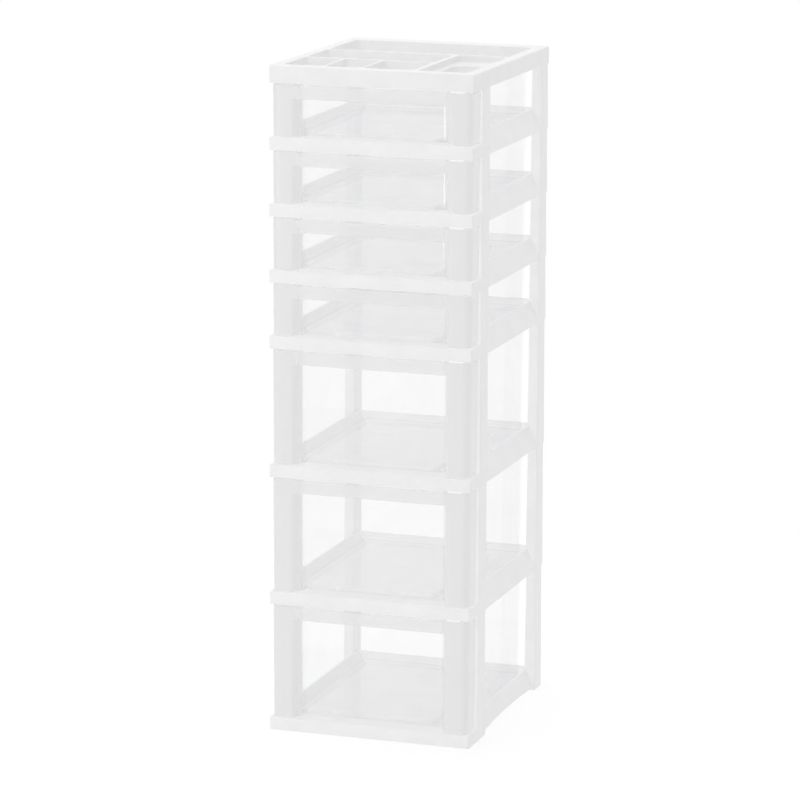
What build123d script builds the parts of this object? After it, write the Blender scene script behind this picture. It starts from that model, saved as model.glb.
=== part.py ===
from build123d import *
import math
import os

# Plastic drawer tower: seven stacked shelf frames, seven clear drawers and an organiser top.
# Millimetres. X runs to the right, Y to the back and Z up. The origin is the centre of the
# footprint on the floor, so the drawer fronts face -Y.

# overall footprint
tower_width = 306.0
tower_depth = 362.0

# drawers of each height, counted from the floor up
deep_count = 3
shallow_count = 4
deep_bay_height = 170.5      # from a front rail's top face to the next rail's underside
shallow_bay_height = 77.25

# shelf moulding
rim_height = 18.5            # front rail, from its underside to its top face
rim_corner_radius = 3.0
rim_edge_radius = 1.6
inside_corner_radius = 0.5   # tightest corner inside a moulding
shelf_wall = 2.5
shelf_floor_height = 11.0    # tray floor's top face above the rail's underside
crest_height = 31.0          # top of the side and back walls above the rail's underside
crest_width = 3.0
skirt_lean = 14.0            # how far the outer skirt leans in from its foot to the crest
tray_side_inset = 32.0       # tower's side to the foot of the tray's inner wall
tray_rear_inset = 21.0
ledge_depth = 30.0           # flat top of the front rail
pad_width = 160.0            # raised panel of the tray floor, which the drawer slides on
pad_front_inset = 67.0
pad_rear_inset = 35.0
pad_corner_radius = 12.0

# corner posts, moulded with the shelf below them
post_width = 16.5
post_length = 36.0
post_front_inset = 44.0      # tower's front to the front posts' front faces
post_wall = 2.5
post_draft = 1.2             # each face leans in by this much over the post's height
post_edge_radius = 1.5
spigot_height = 12.0
spigot_gap = 0.4             # clearance of a spigot in the hollow foot above it
spigot_chamfer = 1.0

# arches in the base frame's side skirts
foot_rise = 4.5
arch_rise = 3.5
overcut = 1.0                # how far the arch's cut runs past the moulding

# drawers
drawer_wall = 2.0
drawer_front_gap = 1.0       # drawer's face behind the rail's face
drawer_floor_gap = 0.5       # drawer's underside above the front rail
drawer_head_gap = 2.5        # drawer's rim below the next rail
drawer_side_gap = 3.0        # drawer front's side face inside the tower's side
drawer_post_gap = 2.0        # back of the front's wings to the front posts
box_side_gap = 1.6           # drawer box to the tray's side wall, at the drawer's underside
box_rear_gap = 2.0
drawer_draft = 1.0           # each wall leans out by this much over the drawer's height
drawer_foot_radius = 1.8
front_corner_radius = 12.0
wing_radius = 4.0
box_corner_radius = 6.0
recess_depth = 26.0          # finger recess, from the drawer's face to its clear panel
recess_width = 234.0         # at the drawer's face
recess_lean = 14.0           # each end of the recess leans in by this much
recess_radius = 5.0
lip_height = 19.0            # pull lip that hangs down across the top of the recess
lip_rim_height = 9.0         # thicker upper part of the lip
lip_rim_thickness = 3.5

# organiser top
top_height = 25.0
top_wall = 2.2
top_front_rim = 17.0
top_rear_rim = 32.0
top_ridge = 8.0              # ridge between two rows of compartments
bin_divider = 4.0            # divider between two small bins
bin_length = 90.0
bin_depth = 12.0
left_bin_width = 58.0
middle_bin_width = 53.0
middle_trough_length = 90.0
middle_trough_depth = 14.0
rear_trough_depth = 20.0
side_tray_width = 73.0
side_tray_depth = 10.0
side_well_depth = 20.0
side_well_margin = 9.0       # ledge beside the deep well
side_well_ledge = 42.0       # ledge behind the deep well
side_well_radius = 16.0
pocket_radius = 6.0
pocket_floor_radius = 2.5

# worked out from the sizes above
front = -tower_depth / 2
rear = tower_depth / 2
side = tower_width / 2
crest_half_width = side - skirt_lean - crest_width
crest_rear = rear - skirt_lean - crest_width
tray_half_width = side - tray_side_inset
tray_rear = rear - tray_rear_inset
post_front = front + post_front_inset
post_centres = [
    (hand * (side - post_width / 2), y)
    for hand in (-1, 1)
    for y in (post_front + post_length / 2, rear - post_length / 2)
]
drawer_underside = rim_height + drawer_floor_gap
drawer_face = front + drawer_front_gap
recess_half_width = recess_width / 2


def rectangle_at(x0, x1, y0, y1, z, radius=0.0):
    # level face between two corners
    shape = RectangleRounded(x1 - x0, y1 - y0, radius) if radius > 0 else Rectangle(x1 - x0, y1 - y0)
    return Pos((x0 + x1) / 2, (y0 + y1) / 2, z) * shape


def block(x0, x1, y0, y1, z0, z1, radius=0.0):
    # upright block between two corners
    return extrude(rectangle_at(x0, x1, y0, y1, z0, radius), z1 - z0)


def inner_radius(radius, wall):
    # an upright corner's radius on the inner side of its wall
    return max(radius - wall, inside_corner_radius)


def tray_wall_at(foot, crest, height):
    # where a leaning tray wall stands at a height, from where its foot and its crest stand
    return foot + (crest - foot) * (height - shelf_floor_height) / (crest_height - shelf_floor_height)


def tray_hollow(grow, floor):
    # the tray's hollow up to its crest, with its walls moved out by grow
    levels = []
    for height in (floor, crest_height):
        half_width = tray_wall_at(tray_half_width, crest_half_width, height) + grow
        back = tray_wall_at(tray_rear, crest_rear, height) + grow
        levels.append(rectangle_at(-half_width, half_width, front + ledge_depth - grow, back, height))
    return loft(levels)


def pad(shrink, floor):
    # raised panel of the tray floor, up to the level of the front rail
    half_width = pad_width / 2 - shrink
    y0 = front + pad_front_inset + shrink
    y1 = rear - pad_rear_inset - shrink
    return block(-half_width, half_width, y0, y1, floor, rim_height - shrink, pad_corner_radius - shrink)


def skirt_mass(shrink, top):
    # the shelf's outer form behind the front rail, which leans in towards the crest
    lean = skirt_lean * top / crest_height
    half_width = side - shrink
    y0 = post_front + shrink
    foot = rectangle_at(-half_width, half_width, y0, rear - shrink, 0)
    head = rectangle_at(lean - half_width, half_width - lean, y0, rear - shrink - lean, top)
    return loft([foot, head])


def front_rail(shrink):
    # the rail across the front and its returns to the front posts
    rail = block(shrink - side, side - shrink, front + shrink, post_front + 2 * shrink, 0, rim_height - shrink)
    uprights = rail.edges().filter_by(Axis.Z).sort_by(Axis.Y)[:2]
    return fillet(uprights, inner_radius(rim_corner_radius, shrink))


def post_mass(centre, height, shrink=0.0):
    # a corner post that narrows towards its head
    width = post_width - 2 * shrink
    length = post_length - 2 * shrink
    foot = RectangleRounded(width, length, post_edge_radius)
    head = RectangleRounded(width - 2 * post_draft, length - 2 * post_draft, post_edge_radius)
    x, y = centre
    return loft([Pos(x, y, 0) * foot, Pos(x, y, height) * head])


def post_socket(centre, height):
    # hollow foot of a post, which takes the spigot of the post below
    return post_mass(centre, height, post_wall)


def spigot(centre, level):
    # plug on a post's head
    narrowing = post_draft * spigot_height / shallow_bay_height
    shrink = 2 * (post_wall + spigot_gap + narrowing)
    x, y = centre
    plug = extrude(Pos(x, y, level) * Rectangle(post_width - shrink, post_length - shrink), spigot_height)
    return chamfer(plug.faces().sort_by(Axis.Z)[-1].edges(), spigot_chamfer)


def skirt_arch():
    # low arch under both side skirts, between the front feet and the rear feet
    y0 = post_front + post_length
    y1 = rear - post_length
    spring = (y0, foot_rise)
    crown = ((y0 + y1) / 2, foot_rise + arch_rise)
    outline = Line((y0, -overcut), spring) + ThreePointArc(spring, crown, (y1, foot_rise))
    outline += Line((y1, foot_rise), (y1, -overcut)) + Line((y1, -overcut), (y0, -overcut))
    return extrude(Plane.YZ.offset(-side - overcut) * make_face(outline), tower_width + 2 * overcut)


def shelf_frame(bay_height):
    # one moulding: front rail, tray, leaning skirt and four hollow posts with spigots
    height = rim_height + bay_height
    leaning_wall = shelf_wall * math.hypot(
        1, (crest_half_width - tray_half_width) / (crest_height - shelf_floor_height)
    )
    rail = front_rail(0)
    top_edges = rail.faces().sort_by(Axis.Z)[-1].edges()
    exposed = top_edges.filter_by(lambda edge: edge.center().Y < post_front - rim_edge_radius)
    rail = fillet(exposed, rim_edge_radius)
    outside = rail + skirt_mass(0, crest_height)
    outside -= tray_hollow(0, shelf_floor_height) - pad(0, shelf_floor_height)
    floor_underside = shelf_floor_height - shelf_wall
    underside = front_rail(shelf_wall) + skirt_mass(shelf_wall, crest_height - 2 * shelf_wall)
    underside -= tray_hollow(leaning_wall, floor_underside) - pad(shelf_wall, floor_underside)
    frame = outside - underside
    for centre in post_centres:
        frame += post_mass(centre, height)
    for centre in post_centres:
        frame -= post_socket(centre, height - post_wall)
        frame += spigot(centre, height)
    return frame


def drawer_outline():
    # plan of a drawer at its rim: a box behind the posts and a wide front with a finger recess
    wing = side - drawer_side_gap
    wing_back = post_front - drawer_post_gap
    box = tray_wall_at(tray_half_width, crest_half_width, drawer_underside) - box_side_gap + drawer_draft
    box_back = tray_wall_at(tray_rear, crest_rear, drawer_underside) - box_rear_gap + drawer_draft
    panel = drawer_face + recess_depth
    right_half = [
        (recess_half_width - recess_lean, panel, recess_radius),
        (recess_half_width, drawer_face, recess_radius),
        (wing, drawer_face, front_corner_radius),
        (wing, wing_back, wing_radius),
        (box, wing_back, wing_radius),
        (box, box_back, box_corner_radius),
    ]
    left_half = [(-x, y, radius) for x, y, radius in reversed(right_half)]
    corners = right_half + left_half
    points = [(x, y) for x, y, radius in corners]
    return make_face(FilletPolyline(*points, radius=[radius for x, y, radius in corners], close=True))


def drawer(bay_height):
    # clear drawer, open at the top, with a pull lip across its finger recess
    z0 = drawer_underside
    z1 = rim_height + bay_height - drawer_head_gap
    outline = drawer_outline()

    def leaned_in(z):
        # how far a wall stands inside the rim's outline at a height
        return drawer_draft * (z1 - z) / (z1 - z0)

    foot = Pos(0, 0, z0) * offset(outline, amount=-drawer_draft)
    outside = loft([foot, Pos(0, 0, z1) * outline], ruled=True)
    outside = fillet(outside.faces().sort_by(Axis.Z)[0].edges(), drawer_foot_radius)
    floor = z0 + drawer_wall
    hollow_foot = Pos(0, 0, floor) * offset(outline, amount=-drawer_wall - leaned_in(floor))
    hollow_rim = Pos(0, 0, z1) * offset(outline, amount=-drawer_wall)
    body = outside - loft([hollow_foot, hollow_rim], ruled=True)

    reach = recess_half_width + recess_radius
    rim_reach = recess_half_width - drawer_wall / 2
    for height, thickness, end in (
        (lip_height, drawer_wall, reach),
        (lip_rim_height, lip_rim_thickness, rim_reach),
    ):
        lip_levels = []
        for z in (z1 - height, z1):
            lip_face = drawer_face + leaned_in(z)
            lip_levels.append(rectangle_at(-end, end, lip_face, lip_face + thickness, z))
        body += loft(lip_levels)
    web_front = drawer_face + drawer_wall / 2
    web_back = drawer_face + recess_depth + drawer_wall / 2
    web = rectangle_at(-reach, reach, web_front, web_back, z1) - hollow_rim
    return body + extrude(web, -drawer_wall)


def pocket(corners, depth, radius, grow=0.0):
    # a compartment of the organiser top, or with grow the shell round it
    x0, x1, y0, y1 = corners
    z0 = top_height - depth - grow
    hollow = block(x0 - grow, x1 + grow, y0 - grow, y1 + grow, z0, top_height, radius + grow)
    return fillet(hollow.faces().sort_by(Axis.Z)[0].edges(), pocket_floor_radius + grow)


def organiser_top():
    # flat cap with three small bins, two troughs and a side tray with a deep well
    left = post_width - side
    right = side - post_width
    bins_y0 = front + top_front_rim
    bins_y1 = bins_y0 + bin_length
    middle_y0 = bins_y1 + top_ridge
    middle_y1 = middle_y0 + middle_trough_length
    rear_y0 = middle_y1 + top_ridge
    rear_y1 = rear - top_rear_rim
    tray_x0 = right - side_tray_width
    bins_right = tray_x0 - top_ridge
    middle_bin_x0 = left + left_bin_width + bin_divider
    right_bin_x0 = middle_bin_x0 + middle_bin_width + bin_divider
    well = (
        tray_x0 + side_well_margin,
        right - side_well_margin,
        bins_y0 + side_well_margin,
        middle_y1 - side_well_ledge,
    )
    compartments = [
        ((left, left + left_bin_width, bins_y0, bins_y1), bin_depth, pocket_radius),
        ((middle_bin_x0, middle_bin_x0 + middle_bin_width, bins_y0, bins_y1), bin_depth, pocket_radius),
        ((right_bin_x0, bins_right, bins_y0, bins_y1), bin_depth, pocket_radius),
        ((left, bins_right, middle_y0, middle_y1), middle_trough_depth, pocket_radius),
        ((left, right, rear_y0, rear_y1), rear_trough_depth, pocket_radius),
        ((tray_x0, right, bins_y0, middle_y1), side_tray_depth, pocket_radius),
        (well, side_well_depth, side_well_radius),
    ]
    cap = block(-side, side, front, rear, 0, top_height, rim_corner_radius)
    cap = fillet(cap.faces().sort_by(Axis.Z)[-1].edges(), rim_edge_radius)
    underside = block(
        top_wall - side, side - top_wall, front + top_wall, rear - top_wall,
        0, top_height - top_wall, inner_radius(rim_corner_radius, top_wall),
    )
    for corners, depth, radius in compartments:
        underside -= pocket(corners, depth, radius, top_wall)
    cap -= underside
    for x, y in post_centres:
        boss = Pos(x, y, 0) * RectangleRounded(post_width, post_length, post_edge_radius)
        socket = Pos(x, y, 0) * Rectangle(post_width - 2 * post_wall, post_length - 2 * post_wall)
        cap += extrude(boss, top_height - top_wall)
        cap -= extrude(socket, spigot_height + spigot_gap)
    for corners, depth, radius in compartments:
        cap -= pocket(corners, depth, radius)
    return cap


def write(name, shape, level):
    # one file for one piece, at its height in the tower
    placed = Pos(0, 0, level) * shape
    placed.label = name
    export_step(placed, os.path.join("parts", name + ".step"))


os.makedirs("parts", exist_ok=True)
deep_frame = shelf_frame(deep_bay_height)
deep_drawer = drawer(deep_bay_height)
shallow_frame = shelf_frame(shallow_bay_height)
shallow_drawer = drawer(shallow_bay_height)

level = 0.0
for number in range(1, deep_count + 1):
    if number == 1:
        write("base_frame", deep_frame - skirt_arch(), level)
    else:
        write(f"deep_frame_{number}", deep_frame, level)
    write(f"deep_drawer_{number}", deep_drawer, level)
    level += rim_height + deep_bay_height
for number in range(1, shallow_count + 1):
    write(f"shallow_frame_{number}", shallow_frame, level)
    write(f"shallow_drawer_{number}", shallow_drawer, level)
    level += rim_height + shallow_bay_height
write("organiser_top", organiser_top(), level)
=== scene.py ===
import bpy
import math
from mathutils import Matrix, Vector

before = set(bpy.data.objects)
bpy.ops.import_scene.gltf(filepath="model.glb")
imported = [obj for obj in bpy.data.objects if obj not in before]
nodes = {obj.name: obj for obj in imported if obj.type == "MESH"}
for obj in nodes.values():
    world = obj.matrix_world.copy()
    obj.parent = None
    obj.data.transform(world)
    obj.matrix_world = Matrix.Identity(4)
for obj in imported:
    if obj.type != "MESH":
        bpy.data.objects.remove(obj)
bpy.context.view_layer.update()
print("frame loaded:", len(nodes), "moulded pieces")

drawerNames = sorted(n for n in nodes if "drawer" in n)
frameNames = sorted(n for n in nodes if n.endswith("frame") or "frame_" in n)
mm = 0.001
plainWhite = (1, 1, 1, 1)
bevelSamples = 4     # rays that round an edge in the shader


# colours and nodes

def hexColour(code):
    # sRGB hex to the linear values that the shaders use
    channels = [int(code[i:i + 2], 16) / 255 for i in (1, 3, 5)]
    linear = [c / 12.92 if c <= 0.04045 else ((c + 0.055) / 1.055) ** 2.4 for c in channels]
    return (*linear, 1.0)


def addNode(tree, kind, settings=None, values=None, links=None):
    # one node with its settings, its socket values and what feeds its sockets
    node = tree.nodes.new(kind)
    for name, value in (settings or {}).items():
        setattr(node, name, value)
    for name, value in (values or {}).items():
        node.inputs[name].default_value = value
    for name, source in (links or {}).items():
        tree.links.new(source, node.inputs[name])
    return node


def newMaterial(name):
    material = bpy.data.materials.new(name)
    material.use_nodes = True
    material.node_tree.nodes.clear()
    return material, material.node_tree


def dress(piece, material):
    piece.data.materials.clear()
    piece.data.materials.append(material)


# white frame plastic: injection moulded polypropylene, white pigment, fine spark-eroded grain
# the eye gets a soft satin sheen, a very faint mottling and a painted highlight that lightens the rounded
# edges

whiteFrame = {
    "colour": "#f8f8f8",
    "shade": "#f4f4f5",          # where the pigment lies a little thinner
    "edge": "#fcfcfc",           # painted highlight: the colour that the rounded edges turn to
    "roughness": 0.36,
    "roughnessSpread": 0.1,
    "grainSize": 0.9,            # mm, drawn coarser than the real 0.1 mm grain so that it shows
    "grainHeight": 0.02,         # mm
    "mottleSize": 38.0,          # mm, flow of the pigment through the mould
    "mottleSpan": (0.35, 0.65),  # noise values from the thinner pigment to the full colour
    "roughSpan": (0.3, 0.7),     # noise values from the smoothest to the roughest patches
    "edgeRadius": 0.5,           # mm
    "edgeHighlightSpan": (0.995, 0.9),    # cosine of the rounded edge's lean, from no painted highlight to a full one
    "lightPassed": 0.96,         # share of the light that gets through one face of a wall
    "ior": 1.49,
}


def makeWhitePlastic(name, style):
    material, tree = newMaterial(name)
    place = addNode(tree, "ShaderNodeTexCoord").outputs["Object"]
    mottle = addNode(tree, "ShaderNodeTexNoise", {"noise_dimensions": "3D"},
                     {"Scale": 1 / (style["mottleSize"] * mm), "Detail": 3.0, "Roughness": 0.55},
                     {"Vector": place}).outputs["Fac"]
    grain = addNode(tree, "ShaderNodeTexNoise", {"noise_dimensions": "3D"},
                    {"Scale": 1 / (style["grainSize"] * mm), "Detail": 2.0, "Roughness": 0.6},
                    {"Vector": place}).outputs["Fac"]
    tone = addNode(tree, "ShaderNodeMapRange", {},
                   {"From Min": style["mottleSpan"][0], "From Max": style["mottleSpan"][1]},
                   {"Value": mottle})
    body = addNode(tree, "ShaderNodeMix", {"data_type": "RGBA"}, {}, {0: tone.outputs[0]})
    body.inputs[6].default_value = hexColour(style["shade"])
    body.inputs[7].default_value = hexColour(style["colour"])
    roundEdge = addNode(tree, "ShaderNodeBevel", {"samples": bevelSamples},
                        {"Radius": style["edgeRadius"] * mm})
    flat = addNode(tree, "ShaderNodeNewGeometry").outputs["Normal"]
    bend = addNode(tree, "ShaderNodeVectorMath", {"operation": "DOT_PRODUCT"}, {},
                   {0: roundEdge.outputs["Normal"], 1: flat})
    edgeHighlightShare = addNode(tree, "ShaderNodeMapRange", {},
                   {"From Min": style["edgeHighlightSpan"][0], "From Max": style["edgeHighlightSpan"][1]},
                   {"Value": bend.outputs["Value"]})
    # painted highlight: the colour turns lighter where the rounded edge leans
    colour = addNode(tree, "ShaderNodeMix", {"data_type": "RGBA"}, {},
                     {0: edgeHighlightShare.outputs[0], 6: body.outputs[2]})
    colour.inputs[7].default_value = hexColour(style["edge"])
    rough = addNode(tree, "ShaderNodeMapRange", {},
                    {"From Min": style["roughSpan"][0], "From Max": style["roughSpan"][1],
                     "To Min": style["roughness"] - style["roughnessSpread"] / 2,
                     "To Max": style["roughness"] + style["roughnessSpread"] / 2}, {"Value": mottle})
    bump = addNode(tree, "ShaderNodeBump", {},
                   {"Strength": 1.0, "Distance": style["grainHeight"] * mm},
                   {"Height": grain, "Normal": roundEdge.outputs["Normal"]})
    shader = addNode(tree, "ShaderNodeBsdfPrincipled", {}, {"IOR": style["ior"]},
                     {"Base Color": colour.outputs[2], "Roughness": rough.outputs[0],
                      "Normal": bump.outputs["Normal"]})
    # the thin white walls let some light through to the shelves below
    path = addNode(tree, "ShaderNodeLightPath")
    lighting = addNode(tree, "ShaderNodeMath", {"operation": "MAXIMUM"}, {},
                       {0: path.outputs["Is Shadow Ray"], 1: path.outputs["Is Diffuse Ray"]})
    passed = addNode(tree, "ShaderNodeMath", {"operation": "MULTIPLY"}, {1: style["lightPassed"]},
                     {0: lighting.outputs[0]})
    clear = addNode(tree, "ShaderNodeBsdfTransparent", {}, {"Color": plainWhite})
    result = addNode(tree, "ShaderNodeMixShader", {}, {},
                     {0: passed.outputs[0], 1: shader.outputs[0], 2: clear.outputs[0]})
    addNode(tree, "ShaderNodeOutputMaterial", {}, {}, {"Surface": result.outputs[0]})
    return material


framePlastic = makeWhitePlastic("mouldedWhitePolypropylene", whiteFrame)
for name in frameNames:
    dress(nodes[name], framePlastic)
print("white frames dressed:", len(frameNames))


# organiser top: the same plastic with painted shade that makes it a touch greyer, and passing less light,
# so that its bins read

shadedWhiteTop = {**whiteFrame, "colour": "#f6f6f6", "shade": "#f2f2f3", "lightPassed": 0.85}
dress(nodes["organiser_top"], makeWhitePlastic("mouldedWhitePolypropyleneTopShaded", shadedWhiteTop))
print("organiser top dressed")


# clear drawer plastic: injection moulded crystal polystyrene, polished mould, about 2 mm thick
# the eye gets a clear pane that greys where it is seen edge-on, sharp reflections of the studio,
# faint flow marks from the gate and a few hairline rub marks

clearDrawer = {
    "tint": "#fefefe",           # light that passes one face of the wall
    "edgeTint": "#fbfbfc",       # the same at a grazing angle, through much more plastic
    "haze": "#f0f0f1",           # light scattered by flow marks and rubbing
    "hazeShare": 0.02,
    "hazeSpread": 0.03,
    "hazeRoughness": 0.6,
    "flowSize": 60.0,            # mm between flow marks
    "flowSpan": (0.4, 0.7),      # noise values from no flow mark to a full one
    "rubSize": 2.4,              # mm between hairline rub marks
    "rubSpan": (0.55, 0.8),      # noise values from no rub mark to a full one
    "rubStretch": 0.12,          # makes the rub marks long in the direction of the slide
    "roughness": 0.07,
    "tintPower": 3.0,            # how late the tint turns to its edge value as a pane tilts away
    "glossPower": 5.0,           # the same for the share that it reflects
    "grazingGloss": 0.35,        # share that a pane reflects when seen nearly edge-on
    "ior": 1.59,
    "wave": 0.02,                # mm, slow waves in the polished face
    "matt": "#ececed",           # the pull frame round the window has a fine matt texture
    "mattShare": 0.85,
    "lipShare": 0.5,             # the lip is a single wall, so more shows through it
    "mattGrain": 0.8,            # mm
    "mattRoughness": 0.45,
    "mattHalfWidth": 109.0,      # mm, middle of the drawer to where the matt side bands begin
    "mattSideDepth": -138.0,     # mm, how far back the side bands reach
    "mattLipDepth": -175.5,      # mm, the same for the lip across the top
    "mattBlend": 1.0,            # mm, softness of the border
    "mattThrough": 0.45,         # share of the matt bands' light that comes from behind them
    "rim": "#dcdcde",            # painted shade: the grey that the walls' narrow edges are drawn in, for the light that they bend away
    "rimShare": 0.5,
    "rimWidth": 0.9,             # mm
    "rimSpan": (0.99, 0.86),     # cosine of the rounded edge's lean, from no line to a full one
}


def makeClearPlastic(style):
    material, tree = newMaterial("clearMouldedPolystyrene")
    place = addNode(tree, "ShaderNodeTexCoord").outputs["Object"]
    flow = addNode(tree, "ShaderNodeTexNoise", {"noise_dimensions": "3D"},
                   {"Scale": 1 / (style["flowSize"] * mm), "Detail": 4.0, "Roughness": 0.5,
                    "Distortion": 0.6}, {"Vector": place}).outputs["Fac"]
    stretched = addNode(tree, "ShaderNodeMapping", {}, {"Scale": (1.0, style["rubStretch"], 1.0)},
                        {"Vector": place})
    rub = addNode(tree, "ShaderNodeTexNoise", {"noise_dimensions": "3D"},
                  {"Scale": 1 / (style["rubSize"] * mm), "Detail": 3.0, "Roughness": 0.7},
                  {"Vector": stretched.outputs[0]}).outputs["Fac"]
    rubbed = addNode(tree, "ShaderNodeMapRange", {},
                     {"From Min": style["rubSpan"][0], "From Max": style["rubSpan"][1],
                      "To Max": style["hazeSpread"]}, {"Value": rub})
    cloud = addNode(tree, "ShaderNodeMapRange", {},
                    {"From Min": style["flowSpan"][0], "From Max": style["flowSpan"][1],
                     "To Min": style["hazeShare"],
                     "To Max": style["hazeShare"] + style["hazeSpread"]}, {"Value": flow})
    hazy = addNode(tree, "ShaderNodeMath", {"operation": "ADD", "use_clamp": True}, {},
                   {0: cloud.outputs[0], 1: rubbed.outputs[0]})
    wave = addNode(tree, "ShaderNodeBump", {}, {"Strength": 1.0, "Distance": style["wave"] * mm},
                   {"Height": flow})
    grazing = addNode(tree, "ShaderNodeLayerWeight", {}, {"Blend": 0.5}).outputs["Facing"]
    depth = addNode(tree, "ShaderNodeMath", {"operation": "POWER"}, {1: style["tintPower"]}, {0: grazing})
    tint = addNode(tree, "ShaderNodeMix", {"data_type": "RGBA"}, {}, {0: depth.outputs[0]})
    tint.inputs[6].default_value = hexColour(style["tint"])
    tint.inputs[7].default_value = hexColour(style["edgeTint"])
    through = addNode(tree, "ShaderNodeBsdfTransparent", {}, {}, {"Color": tint.outputs[2]})
    scattered = addNode(tree, "ShaderNodeBsdfPrincipled", {},
                        {"Base Color": hexColour(style["haze"]), "Roughness": style["hazeRoughness"],
                         "IOR": style["ior"]})
    pane = addNode(tree, "ShaderNodeMixShader", {}, {},
                   {0: hazy.outputs[0], 1: through.outputs[0], 2: scattered.outputs[0]})
    gloss = addNode(tree, "ShaderNodeBsdfGlossy", {},
                    {"Roughness": style["roughness"], "Color": plainWhite}, {"Normal": wave.outputs[0]})
    steep = addNode(tree, "ShaderNodeMath", {"operation": "POWER"}, {1: style["glossPower"]},
                    {0: grazing})
    direct = ((style["ior"] - 1) / (style["ior"] + 1)) ** 2      # share that a face reflects head-on
    mirror = addNode(tree, "ShaderNodeMapRange", {},
                     {"To Min": 2 * direct, "To Max": style["grazingGloss"]}, {"Value": steep.outputs[0]})
    outer = addNode(tree, "ShaderNodeMixShader", {}, {},
                    {0: mirror.outputs[0], 1: pane.outputs[0], 2: gloss.outputs[0]})
    # matt bands: both sides of the window, out to the corners, and the lip across its top
    axes = addNode(tree, "ShaderNodeSeparateXYZ", {}, {}, {0: place}).outputs
    away = addNode(tree, "ShaderNodeMath", {"operation": "ABSOLUTE"}, {}, {0: axes[0]})
    blend = style["mattBlend"] * mm
    beside = addNode(tree, "ShaderNodeMapRange", {},
                     {"From Min": style["mattHalfWidth"] * mm - blend,
                      "From Max": style["mattHalfWidth"] * mm + blend}, {"Value": away.outputs[0]})
    before = addNode(tree, "ShaderNodeMapRange", {},
                     {"From Min": style["mattSideDepth"] * mm + blend,
                      "From Max": style["mattSideDepth"] * mm - blend}, {"Value": axes[1]})
    foremost = addNode(tree, "ShaderNodeMapRange", {},
                       {"From Min": style["mattLipDepth"] * mm + blend,
                        "From Max": style["mattLipDepth"] * mm - blend}, {"Value": axes[1]})
    bands = addNode(tree, "ShaderNodeMath", {"operation": "MULTIPLY"}, {},
                    {0: beside.outputs[0], 1: before.outputs[0]})
    lip = addNode(tree, "ShaderNodeMath", {"operation": "MULTIPLY"}, {1: style["lipShare"]},
                  {0: foremost.outputs[0]})
    sides = addNode(tree, "ShaderNodeMath", {"operation": "MULTIPLY"}, {1: style["mattShare"]},
                    {0: bands.outputs[0]})
    share = addNode(tree, "ShaderNodeMath", {"operation": "MAXIMUM"}, {},
                    {0: lip.outputs[0], 1: sides.outputs[0]})
    texture = addNode(tree, "ShaderNodeTexNoise", {"noise_dimensions": "3D"},
                      {"Scale": 1 / (style["mattGrain"] * mm), "Detail": 1.0},
                      {"Vector": place}).outputs["Fac"]
    pitted = addNode(tree, "ShaderNodeBump", {}, {"Strength": 1.0, "Distance": style["wave"] * mm},
                     {"Height": texture})
    front = addNode(tree, "ShaderNodeBsdfPrincipled", {},
                    {"Base Color": hexColour(style["matt"]), "Roughness": style["mattRoughness"],
                     "IOR": style["ior"]}, {"Normal": pitted.outputs[0]})
    behind = addNode(tree, "ShaderNodeBsdfTranslucent", {}, {"Color": hexColour(style["matt"])})
    matt = addNode(tree, "ShaderNodeMixShader", {}, {0: style["mattThrough"]},
                   {1: front.outputs[0], 2: behind.outputs[0]})
    # narrow edges: the top rims and the corners show as fine grey lines of painted shade
    rounded = addNode(tree, "ShaderNodeBevel", {"samples": bevelSamples},
                      {"Radius": style["rimWidth"] * mm})
    geometry = addNode(tree, "ShaderNodeNewGeometry").outputs
    turn = addNode(tree, "ShaderNodeVectorMath", {"operation": "DOT_PRODUCT"}, {},
                   {0: rounded.outputs["Normal"], 1: geometry["Normal"]})
    narrow = addNode(tree, "ShaderNodeMapRange", {},
                     {"From Min": style["rimSpan"][0], "From Max": style["rimSpan"][1],
                      "To Max": style["rimShare"]}, {"Value": turn.outputs["Value"]})
    rim = addNode(tree, "ShaderNodeBsdfDiffuse", {}, {"Color": hexColour(style["rim"])})
    # a wall's entry face carries the gloss of both its faces, so light isn't trapped inside the wall
    polished = addNode(tree, "ShaderNodeMixShader", {}, {},
                       {0: geometry["Backfacing"], 1: outer.outputs[0], 2: through.outputs[0]})
    edged = addNode(tree, "ShaderNodeMixShader", {}, {},
                    {0: narrow.outputs[0], 1: polished.outputs[0], 2: rim.outputs[0]})
    surface = addNode(tree, "ShaderNodeMixShader", {}, {},
                      {0: share.outputs[0], 1: edged.outputs[0], 2: matt.outputs[0]})
    # light on its way to the shelves passes the clear walls undimmed, as it does by refraction
    path = addNode(tree, "ShaderNodeLightPath")
    lighting = addNode(tree, "ShaderNodeMath", {"operation": "MAXIMUM"}, {},
                       {0: path.outputs["Is Shadow Ray"], 1: path.outputs["Is Diffuse Ray"]})
    clear = addNode(tree, "ShaderNodeBsdfTransparent", {}, {"Color": plainWhite})
    result = addNode(tree, "ShaderNodeMixShader", {}, {},
                     {0: lighting.outputs[0], 1: surface.outputs[0], 2: clear.outputs[0]})
    addNode(tree, "ShaderNodeOutputMaterial", {}, {}, {"Surface": result.outputs[0]})
    return material


clearPlastic = makeClearPlastic(clearDrawer)
for name in drawerNames:
    dress(nodes[name], clearPlastic)
print("clear drawers dressed:", len(drawerNames))


# studio: a pale floor, a white surround and two soft lamps

studio = {
    "floorSize": 6.0,
    "floorColour": "#f8f8f8",
    "floorGlow": 0.16,           # what the camera sees on top of the lit floor
    "floorFade": (0.7, 1.6),     # metres from the tower over which the floor turns to plain white
    "surroundLight": 0.8,
    "lamps": [
        # name, place, size, power, aims at
        ("softboxLeft", (-2.4, -3.2, 0.35), 2.2, 30, (0, 0, 0.2)),
        ("softboxTop", (-0.4, 0.3, 3.4), 2.0, 14, (0, 0, 0.5)),
    ],
}


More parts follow.
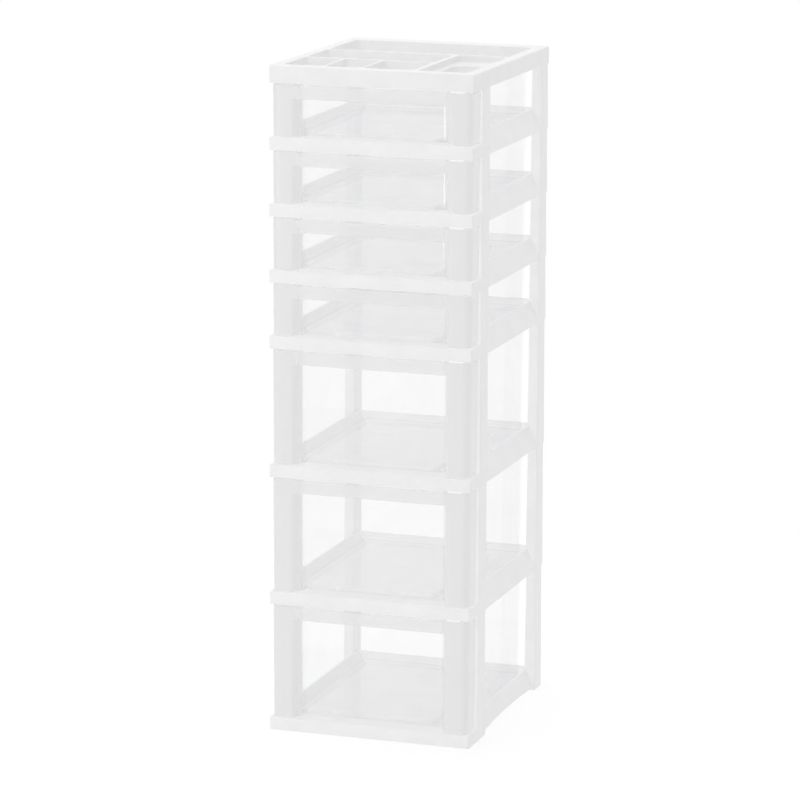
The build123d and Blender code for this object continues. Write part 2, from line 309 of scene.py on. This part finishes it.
def seenRay(tree):
    # 1 for what the camera, a reflection or a clear wall looks at
    path = addNode(tree, "ShaderNodeLightPath")
    first = addNode(tree, "ShaderNodeMath", {"operation": "MAXIMUM"}, {},
                    {0: path.outputs["Is Camera Ray"], 1: path.outputs["Is Glossy Ray"]})
    return addNode(tree, "ShaderNodeMath", {"operation": "MAXIMUM"}, {},
                   {0: first.outputs[0], 1: path.outputs["Is Transmission Ray"]}).outputs[0]


def makeStudio(style):
    world = bpy.data.worlds.new("studioSurround")
    bpy.context.scene.world = world
    world.use_nodes = True
    tree = world.node_tree
    tree.nodes.clear()
    lit = addNode(tree, "ShaderNodeBackground", {},
                  {"Color": plainWhite, "Strength": style["surroundLight"]})
    seen = addNode(tree, "ShaderNodeBackground", {}, {"Color": plainWhite, "Strength": 1.0})
    both = addNode(tree, "ShaderNodeMixShader", {}, {},
                   {0: seenRay(tree), 1: lit.outputs[0], 2: seen.outputs[0]})
    addNode(tree, "ShaderNodeOutputWorld", {}, {}, {"Surface": both.outputs[0]})

    material, tree = newMaterial("studioPaper")
    paper = addNode(tree, "ShaderNodeBsdfDiffuse", {}, {"Color": hexColour(style["floorColour"])})
    strength = addNode(tree, "ShaderNodeMath", {"operation": "MULTIPLY"}, {1: style["floorGlow"]},
                       {0: seenRay(tree)})
    glow = addNode(tree, "ShaderNodeEmission", {}, {"Color": plainWhite},
                   {"Strength": strength.outputs[0]})
    near = addNode(tree, "ShaderNodeAddShader", {}, {}, {0: paper.outputs[0], 1: glow.outputs[0]})
    even = addNode(tree, "ShaderNodeMapRange", {}, {"To Min": style["surroundLight"], "To Max": 1.0},
                   {"Value": seenRay(tree)})
    far = addNode(tree, "ShaderNodeEmission", {}, {"Color": plainWhite}, {"Strength": even.outputs[0]})
    place = addNode(tree, "ShaderNodeTexCoord").outputs["Object"]
    reach = addNode(tree, "ShaderNodeVectorMath", {"operation": "LENGTH"}, {}, {0: place})
    fade = addNode(tree, "ShaderNodeMapRange", {"interpolation_type": "SMOOTHSTEP"},
                   {"From Min": style["floorFade"][0], "From Max": style["floorFade"][1]},
                   {"Value": reach.outputs["Value"]})
    total = addNode(tree, "ShaderNodeMixShader", {}, {},
                    {0: fade.outputs[0], 1: near.outputs[0], 2: far.outputs[0]})
    addNode(tree, "ShaderNodeOutputMaterial", {}, {}, {"Surface": total.outputs[0]})

    bpy.ops.mesh.primitive_plane_add(size=style["floorSize"], location=(0, 0, 0))
    floor = bpy.context.object
    floor.name = "studioFloor"
    dress(floor, material)

    for name, place, size, power, target in style["lamps"]:
        lamp = bpy.data.lights.new(name, "AREA")
        lamp.shape = "SQUARE"
        lamp.size = size
        lamp.energy = power
        holder = bpy.data.objects.new(name, lamp)
        bpy.context.scene.collection.objects.link(holder)
        holder.location = place
        holder.rotation_euler = (Vector(target) - Vector(place)).to_track_quat("-Z", "Y").to_euler()


makeStudio(studio)
print("studio built")


# camera, at the photograph's viewing angle

camera = {
    "place": (1.8472, -5.5253, 1.6879),
    "azimuth": 18.625,           # degrees
    "elevation": 11.839,
    "roll": 0.319,
    "lens": 182.37,              # mm
    "sensorWidth": 36.0,
    "farthest": 100.0,           # metres
}


def makeCamera(style):
    data = bpy.data.cameras.new("photoCamera")
    data.lens = style["lens"]
    data.sensor_width = style["sensorWidth"]
    data.clip_end = style["farthest"]
    data.dof.use_dof = False
    holder = bpy.data.objects.new("photoCamera", data)
    bpy.context.scene.collection.objects.link(holder)
    a, e, r = (math.radians(style[key]) for key in ("azimuth", "elevation", "roll"))
    back = Vector((math.sin(a) * math.cos(e), -math.cos(a) * math.cos(e), math.sin(e)))
    right = (-back).cross(Vector((0, 0, 1))).normalized()
    up = back.cross(right)
    turnedRight = math.cos(r) * right + math.sin(r) * up
    turnedUp = math.cos(r) * up - math.sin(r) * right
    axes = Matrix((turnedRight, turnedUp, back)).transposed()
    holder.matrix_world = Matrix.Translation(style["place"]) @ axes.to_4x4()
    bpy.context.scene.camera = holder


makeCamera(camera)
bpy.context.scene.view_settings.view_transform = "Standard"
print("camera set")


# how often light may pass or bounce

lightPaths = {
    "clearWalls": 32,            # from above, seven drawers of clear walls lie behind one another
    "all": 16,
    "diffuse": 10,               # the white shelves light each other from inside
}

cycles = bpy.context.scene.cycles
cycles.transparent_max_bounces = lightPaths["clearWalls"]
cycles.max_bounces = lightPaths["all"]
cycles.diffuse_bounces = lightPaths["diffuse"]
print("light paths set")
